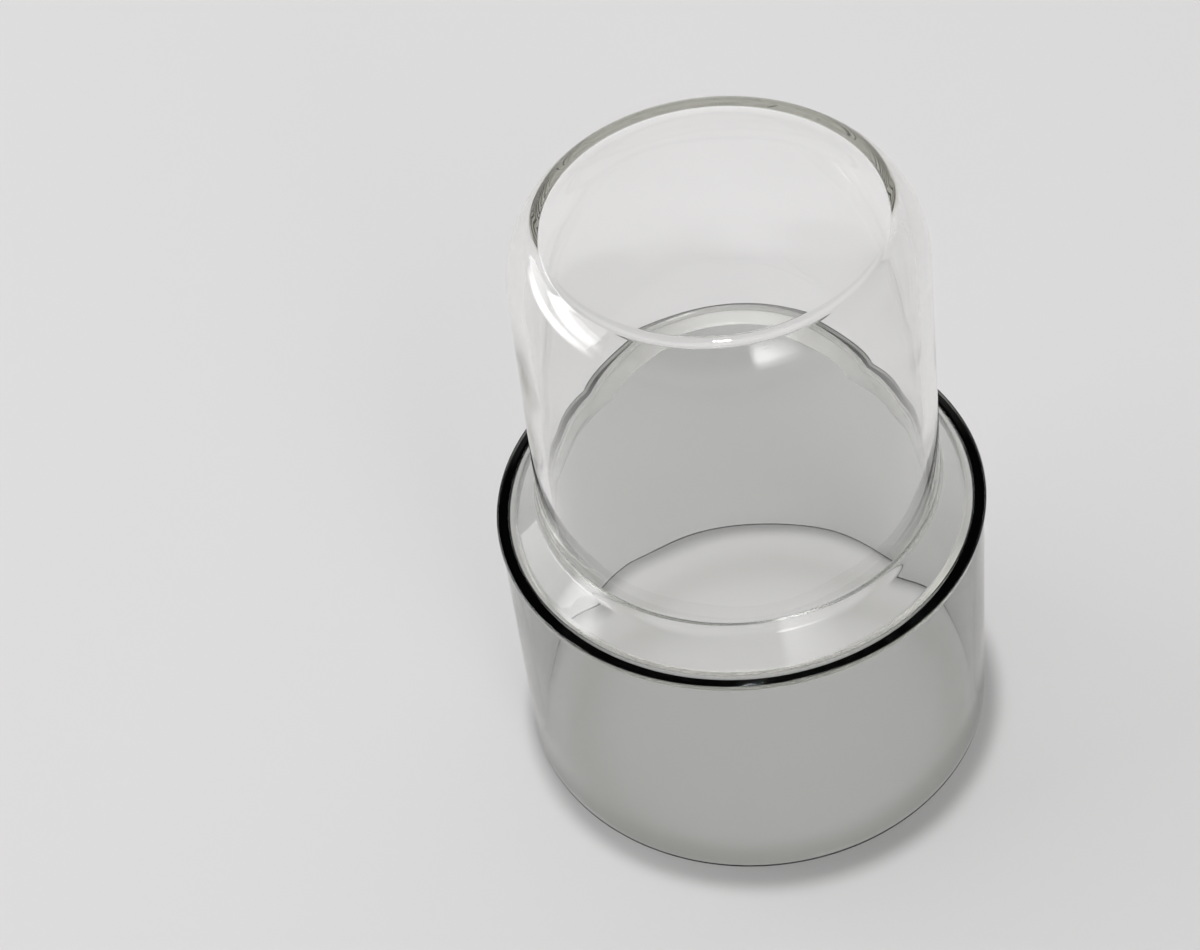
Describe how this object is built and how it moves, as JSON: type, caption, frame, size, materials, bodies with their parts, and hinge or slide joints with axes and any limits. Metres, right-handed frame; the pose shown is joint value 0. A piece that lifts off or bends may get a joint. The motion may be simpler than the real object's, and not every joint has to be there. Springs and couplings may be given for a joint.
{
  "type": "tall drinking glass",
  "caption": "Tall two-tone drinking glass standing on its mouth: clear round-heeled base section flaring into a wider smoked-grey bowl, fused at a dark beaded seam.",
  "frame": {"origin": "centre of the drinking edge's plane, which is the surface the upturned glass stands on", "axes": "+Z along the glass's axis, from the drinking edge up to the base; X and Y are free, the glass is round"},
  "size_m": [0.0841, 0.084, 0.1162],
  "materials": {
    "clear_glass": "polished, colourless",
    "smoked_glass": "polished, smoked grey"
  },
  "bodies": {
    "root": {"clear_base": "clear_glass", "smoked_bowl": "smoked_glass"}
  },
  "joints": []
}
